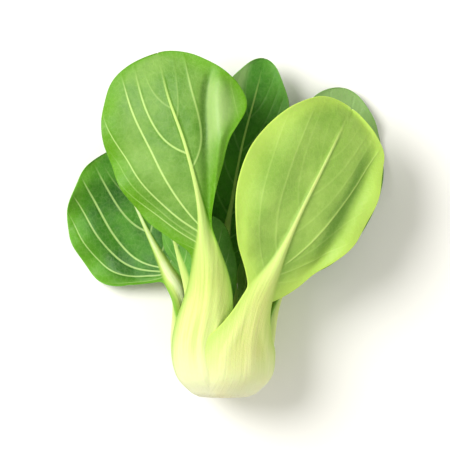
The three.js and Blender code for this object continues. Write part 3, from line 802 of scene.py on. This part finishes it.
def paint_blade(n, look, lines, mottle, grain):
    """The blade's colour: its two faces, the painted shade along a fold's crease and the painted light on
    the panel beyond it, the veins, and the rim with its painted edge light.
    """
    on_back, edge = n.value_of("back"), n.value_of("edge")
    shade, along = n.value_of("shade"), n.value_of("t")
    green = n.blend(on_back, n.blend(mottle, *look["face"]), n.blend(mottle, *look["back"]))
    # Painted light: a paler patch beyond the shade line, from a place along the blade onwards; on the
    # leaves under the head it is a painted sheen on the curling tips.
    if "lit_panel" in look:
        colour, begins, soft = look["lit_panel"]
        mask = n.times(n.scale(shade, -0.3, soft), n.scale(along, begins, begins + 0.12))
        green = n.blend(mask, green, colour)
    # Painted shade: a darker band along the shade line, in the crease of the blade's fold.
    if "crease_shade" in look:
        colour, half = look["crease_shade"]
        mask = n.scale(n.math("ABSOLUTE", n.math("ADD", shade, half * 0.4)), half, half * 0.1)
        mask = n.times(mask, n.scale(along, 0.1, 0.3), n.scale(along, 1.0, 0.8))
        green = n.blend(n.times(mask, 0.85), green, colour)
    # Painted light through the thin edges: the rim's colour reaches far in, which leaves the middle darker
    # as painted shade.
    green = n.blend(n.scale(edge, *GLOW, 0.0, look["glow"]), green, look["rim"])
    green = n.blend(n.times(grain, 0.06), green, look["back_vein"])
    veins = n.times(lines["Veins"], look["vein_show"])
    vein_colour = n.blend(on_back, look["face_vein"], look["back_vein"])
    green = n.blend(n.math("MAXIMUM", veins, n.times(lines["Net"], 0.06)), green, vein_colour)
    return n.blend(n.scale(edge, *RIM, 0.0, 0.7), green, look["rim"])


def paint_stalk(n, look, fibres, mottle):
    """The stalk's colour along its length, greener at its sides and between its fibres, with painted shade
    in its hollows, a painted sheen along its middle where the look gives one, and faint specks at its
    root."""
    neck, rib = n.value_of("neck"), n.value_of("rib")
    ramp = n.add("ValToRGB")
    stops = ramp.color_ramp.elements
    while len(stops) < len(STALK_COLOURS):
        stops.new(0.5)
    for stop, (place, colour) in zip(stops, STALK_COLOURS):
        stop.position = place / STALK_SPAN
        stop.color = paint(colour)
    n.set(ramp.inputs[0], n.math("DIVIDE", neck, STALK_SPAN))
    side = n.times(n.scale(rib, 0.4, 1.0), 0.8)
    # Painted shade in the hollows between the stalk's ridges, below its neck.
    hollow = n.times(n.scale(n.value_of("ridge"), 0.3, 0.04), n.scale(neck, 1.2, 0.8, 0.0, 0.4))
    side = n.times(n.math("MAXIMUM", side, hollow), n.scale(neck, 0.15, 0.5))
    stalk = n.blend(side, ramp.outputs[0], look["stalk_side"])
    fine = mottle_of(n, SPECK_SIZE, 0.42, 0.72)
    stalk = n.blend(n.times(fine, n.scale(neck, 0.085, 0.02, 0.0, 0.4)), stalk, SPECK_COLOUR)
    # A painted sheen, mottled, along the middle of the stalk.
    if "stalk_sheen" in look:
        middle = n.times(mottle, n.scale(rib, 0.7, 0.2, 0.0, 0.45))
        stalk = n.blend(middle, stalk, look["stalk_sheen"])
    streak = n.times(n.math("SUBTRACT", 1.0, fibres), n.scale(neck, 0.1, 0.5))
    return n.blend(n.times(streak, 0.35), stalk, look["stalk_side"])


def leaf_material(name):
    """Fresh leaf: a pale back and a darker inner face, veins, a thin pale rim with painted light inside
    it, painted shade and painted light along the folds of some blades, and a stalk that goes from nearly
    white at its root to green at its neck."""
    look = LOOKS[name]
    material, n, shader = start_material(name, 0.5, 0.15)
    lines = place_group(n, "leaf lines", Vein_Width=VEIN_WIDTH, Net_Size=NET_SIZE)
    fibres = place_group(n, "fibres", Spacing=FIBRE_SPACING)["Fibres"]
    mottle, grain = mottle_of(n, MOTTLE_SIZE), mottle_of(n, GRAIN_SIZE)
    green = paint_blade(n, look, lines, mottle, grain)
    stalk = paint_stalk(n, look, fibres, mottle)
    n.feed(shader, Base_Color=n.blend(lines["Midrib"], green, stalk),
           Roughness=n.scale(mottle, 0.0, 1.0, 0.44, 0.56))
    height = n.times(fibres, lines["Midrib"], 0.6)
    height = n.math("ADD", height, n.times(lines["Veins"], 0.25))
    height = n.math("ADD", height, n.times(grain, 0.35))
    height = n.math("SUBTRACT", height, n.times(lines["Net"], 0.25))
    add_bump(n, shader, height, 0.5, 0.0002)
    return material


# The cut's greener ring of vessels and its browned rim, in mm from its middle and above the cut.
RING_BEGINS = (6.2, 7.4)
RING_ENDS = (9.2, 8.2)
BROWNED_FROM = (7.4, 9.6)
BROWNED_UP_TO = (1.8, 0.3)


def crown_material():
    """The trimmed stem: moist pale tissue, a little browned round the rim of the cut."""
    material, n, shader = start_material("trimmed crown", 0.5, 0.2)
    mottle, fine = mottle_of(n, 0.004, 0.3, 0.75), mottle_of(n, 0.0007)
    r = n.value_of("r")
    flesh = n.blend(mottle, (226, 230, 180), (242, 243, 210))
    ring = n.times(n.scale(r, *RING_BEGINS), n.scale(r, *RING_ENDS), 0.5)
    flesh = n.blend(ring, flesh, (190, 205, 120))
    browned = n.times(n.scale(r, *BROWNED_FROM), n.scale(n.value_of("h"), *BROWNED_UP_TO))
    browned = n.times(browned, n.scale(mottle, 0.1, 0.9, 0.2, 1.0), 0.7)
    flesh = n.blend(browned, flesh, (176, 142, 92))
    n.feed(shader, Base_Color=flesh, Roughness=n.scale(fine, 0.0, 1.0, 0.42, 0.62))
    add_bump(n, shader, n.math("ADD", fine, mottle), 0.6, 0.0003)
    return material


def vessel_material():
    """The cut ends of the stem's vessels, a little greener than the flesh between them."""
    material, n, shader = start_material("cut vessels", 0.45, 0.1)
    mottle = mottle_of(n, 0.0015)
    n.feed(shader, Base_Color=n.blend(mottle, (200, 205, 140), (232, 234, 188)))
    add_bump(n, shader, mottle, 0.4, 0.0001)
    return material


# The crown's outline, as (radius, height above the cut), and the lobes round it, as (count, height,
# phase), a little inside the outline.
CUT_R = 9.5
CROWN_PROFILE = [(0, 0), (CUT_R, 0), (10.3, 1), (11.5, 3.5), (11.5, 5.5), (8.5, 9), (4, 11.3), (0, 12.3)]
CROWN_SIDES = 96
CUT_RINGS = 16
SIDE_ROWS = 7
LOBES = [(5, 0.022, 0.4), (9, 0.012, 1.7), (17, 0.006, 0.2)]
LOBES_INSIDE = 0.02
CUT_DISH = 0.35


def crown_mesh():
    """The trimmed stem as one closed mesh round the head's axis, with a faintly dished cut."""
    profile = [(CUT_R * k / CUT_RINGS, 0.0) for k in range(CUT_RINGS + 1)]
    for (r0, h0), (r1, h1) in zip(CROWN_PROFILE[1:], CROWN_PROFILE[2:]):
        shares = [k / SIDE_ROWS for k in range(1, SIDE_ROWS + 1)]
        profile += [(mix(r0, r1, share), mix(h0, h1, share)) for share in shares]
    profile = np.array(profile[1:-1])
    angle = np.arange(CROWN_SIDES) * 2 * np.pi / CROWN_SIDES
    lobes = 1 - LOBES_INSIDE + sum(size * np.sin(count * angle + phase) for count, size, phase in LOBES)
    r = profile[:, :1] * lobes
    dish = CUT_DISH * (1 - np.clip(profile[:, :1] / CUT_R, 0, 1) ** 2) * (profile[:, 1:] == 0)
    h = profile[:, 1:] + dish + 0 * r
    around = np.stack([AXIS_X + r * np.cos(angle), CUT_Y + h, AXIS_Z + r * np.sin(angle)], -1)
    points = np.vstack([[[AXIS_X, CUT_Y + CUT_DISH, AXIS_Z]], around.reshape(-1, 3),
                        [[AXIS_X, CUT_Y + CROWN_PROFILE[-1][1], AXIS_Z]]])
    rows, last = len(profile), len(points) - 1
    at = lambda row, k: 1 + row * CROWN_SIDES + k % CROWN_SIDES
    faces = [(0, at(0, k), at(0, k + 1)) for k in range(CROWN_SIDES)]
    for row in range(rows - 1):
        faces += [(at(row, k), at(row + 1, k), at(row + 1, k + 1), at(row, k + 1))
                  for k in range(CROWN_SIDES)]
    faces += [(last, at(rows - 1, k + 1), at(rows - 1, k)) for k in range(CROWN_SIDES)]
    values = {"r": np.concatenate([[0], (profile[:, :1] + 0 * r).ravel(), [0]]),
              "h": np.concatenate([[0], h.ravel(), [CROWN_PROFILE[-1][1]]])}
    return mesh_of("fine_crown", points, faces, values)


# The back that two finishes share.
DARK_BACK = dict(back=((84, 134, 48), (108, 158, 62)), back_vein=(180, 210, 130),
                 stalk_side=(140, 180, 60))

# The leaves' finishes. Colours are as the screen shows them; back and face are (dark, light):
# stalk_side: the stalk's colour at its sides and between its fibres, and of the painted shade in its
# hollows
# vein_show: how plainly the veins show
# glow: how much of its rim's colour the blade takes inside, as painted light through its thin edges
# crease_shade: the colour and half width (mm) of the band of painted shade along the leaf's shade line, in
# its fold's crease
# lit_panel: the colour of the painted light beyond that line, where along the blade it begins, and over
# how many mm
# stalk_sheen: the colour of the painted sheen along the stalk's middle
LOOKS = {
    # Painted shade in the crease of its fold, painted light on the panel beyond it and at its edges, and a
    # painted sheen along its stalk.
    "pale leaf": dict(
        back=((130, 170, 66), (151, 186, 84)), face=((84, 140, 44), (112, 166, 58)),
        back_vein=(204, 230, 130), face_vein=(204, 224, 160), rim=(200, 230, 98),
        stalk_side=(182, 208, 96), vein_show=0.6, glow=0.5, crease_shade=((102, 148, 54), 6.0),
        lit_panel=((138, 175, 76), 0.15, 4.0), stalk_sheen=(232, 220, 152)),
    # Painted shade in the crease beside its midrib, and painted light on the panel that rises beyond it
    # and at its edges.
    "green leaf": dict(
        back=((84, 134, 36), (118, 160, 66)), face=((60, 120, 34), (88, 148, 46)),
        back_vein=(190, 220, 130), face_vein=(204, 224, 160), rim=(90, 150, 0),
        stalk_side=(160, 194, 76), vein_show=0.85, glow=1.0, crease_shade=((72, 112, 34), 2.4),
        lit_panel=((152, 186, 108), 0.1, 0.7)),
    # Painted light at its edges, which leaves its middle darker as painted shade, and a painted sheen
    # along its stalk.
    "dark leaf": dict(
        DARK_BACK, face=((28, 88, 6), (64, 130, 16)), face_vein=(176, 208, 124), rim=(104, 170, 24),
        vein_show=0.9, glow=0.6, stalk_sheen=(246, 248, 232)),
    # Its pale panel is a painted sheen on its tip, where the blade curls down.
    "under leaf": dict(
        DARK_BACK, face=((48, 116, 18), (80, 148, 34)), face_vein=(150, 190, 110),
        rim=(110, 160, 66), vein_show=0.5, glow=0.12, lit_panel=((134, 168, 100), 0.68, 3.5)),
    "young leaf": dict(
        back=((134, 176, 70), (160, 200, 88)), face=((104, 156, 56), (134, 182, 76)),
        back_vein=(208, 232, 150), face_vein=(204, 224, 160), rim=(180, 214, 104),
        stalk_side=(174, 204, 88), vein_show=0.6, glow=0.12),
    "inner leaf": dict(
        back=((66, 130, 30), (98, 162, 52)), face=((48, 104, 22), (76, 134, 40)),
        back_vein=(176, 208, 130), face_vein=(190, 216, 140), rim=(96, 150, 52),
        stalk_side=(160, 194, 84), vein_show=0.8, glow=0.12),
}

# The leaves' relief, in metres, with the veins' width and the puckers' size in mm, and how far one
# leaf's noise is from the next one's.
RELIEF = {"Vein Height": 0.00028, "Vein Width": 0.9, "Pucker Height": 0.0009, "Pucker Size": 8.0,
          "Fibre Height": 0.00028}
SEED_STEP = 3.7


def make_leaves():
    """Every leaf, with its relief and its finish."""
    materials = {name: leaf_material(name) for name in LOOKS}
    raise_veins = vein_tree()
    for number, (name, leaf) in enumerate(LEAVES.items()):
        piece = leaf_mesh("fine_" + name, leaf)
        run_nodes(piece, raise_veins, {**RELIEF, "Seed": SEED_STEP * number,
                                       "Material": materials[leaf["finish"]]})
        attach(piece, "root")
        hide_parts(name)


def make_crown():
    """The trimmed stem with its cut vessels."""
    piece = crown_mesh()
    piece.data.materials.append(crown_material())
    middle = Vector((AXIS_X * MM, (CUT_Y + CUT_DISH) * MM, AXIS_Z * MM)) + Vector(SHIFT)
    run_nodes(piece, bundle_tree(), {"Count": 110, "Middle": middle, "Spread": 0.0082, "Dot Size": 0.00032,
                                     "Seed": 4, "Material": vessel_material()})
    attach(piece, "root")
    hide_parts("crown")


FLOOR_HALF = 3.0
FLOOR_COLOUR = (247, 246, 243)


def make_floor():
    """The plain pale surface that the head lies on."""
    mesh = bpy.data.meshes.new("surface")
    corners = [(x * FLOOR_HALF, y * FLOOR_HALF, 0) for x, y in ((-1, -1), (1, -1), (1, 1), (-1, 1))]
    mesh.from_pydata(corners, [], [(0, 1, 2, 3)])
    floor = bpy.data.objects.new("surface", mesh)
    bpy.context.scene.collection.objects.link(floor)
    material, n, shader = start_material("pale surface", 0.75, 0.0)
    n.feed(shader, Base_Color=paint(FLOOR_COLOUR))
    mesh.materials.append(material)


LIT = (0, 0, 0.02)


def area_light(name, place, size, power, colour):
    """A soft round lamp at a place, turned to the head."""
    data = bpy.data.lights.new(name, "AREA")
    data.shape = "DISK"
    data.size = size
    data.energy = power
    data.color = colour
    lamp = bpy.data.objects.new(name, data)
    bpy.context.scene.collection.objects.link(lamp)
    lamp.location = place
    lamp.rotation_euler = (Vector(LIT) - Vector(place)).to_track_quat("-Z", "Y").to_euler()


def make_light():
    """Soft daylight from the upper left, as the photo's shadows show, and an even white room."""
    area_light("key", (-0.68, 0.36, 0.85), 0.7, 14.5, (1.0, 0.99, 0.97))
    area_light("fill", (0.7, -0.3, 0.9), 0.9, 3, (1.0, 0.985, 0.95))
    world = bpy.data.worlds.new("room")
    world.use_nodes = True
    n = Nodes(world.node_tree, "Shader")
    n.feed(n.tree.nodes["Background"], Color=(1.0, 0.985, 0.9, 1.0), Strength=0.5)
    bpy.context.scene.world = world
    # Colours are painted as the screen shows them, so nothing bends them afterwards.
    bpy.context.scene.view_settings.view_transform = "Standard"


# Metres above the surface, and the width that the camera sees at the head's middle.
CAMERA_HEIGHT = 1.15
CAMERA_SEES = 0.182


def make_camera():
    """Straight above the head, with its tips up, as in the photo."""
    data = bpy.data.cameras.new("camera")
    camera = bpy.data.objects.new("camera", data)
    bpy.context.scene.collection.objects.link(camera)
    low, high = cad_box
    camera.location = ((low.x + high.x) / 2, (low.y + high.y) / 2, CAMERA_HEIGHT)
    level = (low.z + high.z) / 2
    data.sensor_width = 36.0
    data.lens = data.sensor_width * (CAMERA_HEIGHT - level) / CAMERA_SEES
    data.clip_end = 20
    bpy.context.scene.camera = camera


group_lines()
group_fibres()
group_mottle()
make_leaves()
make_crown()
make_floor()
make_light()
make_camera()
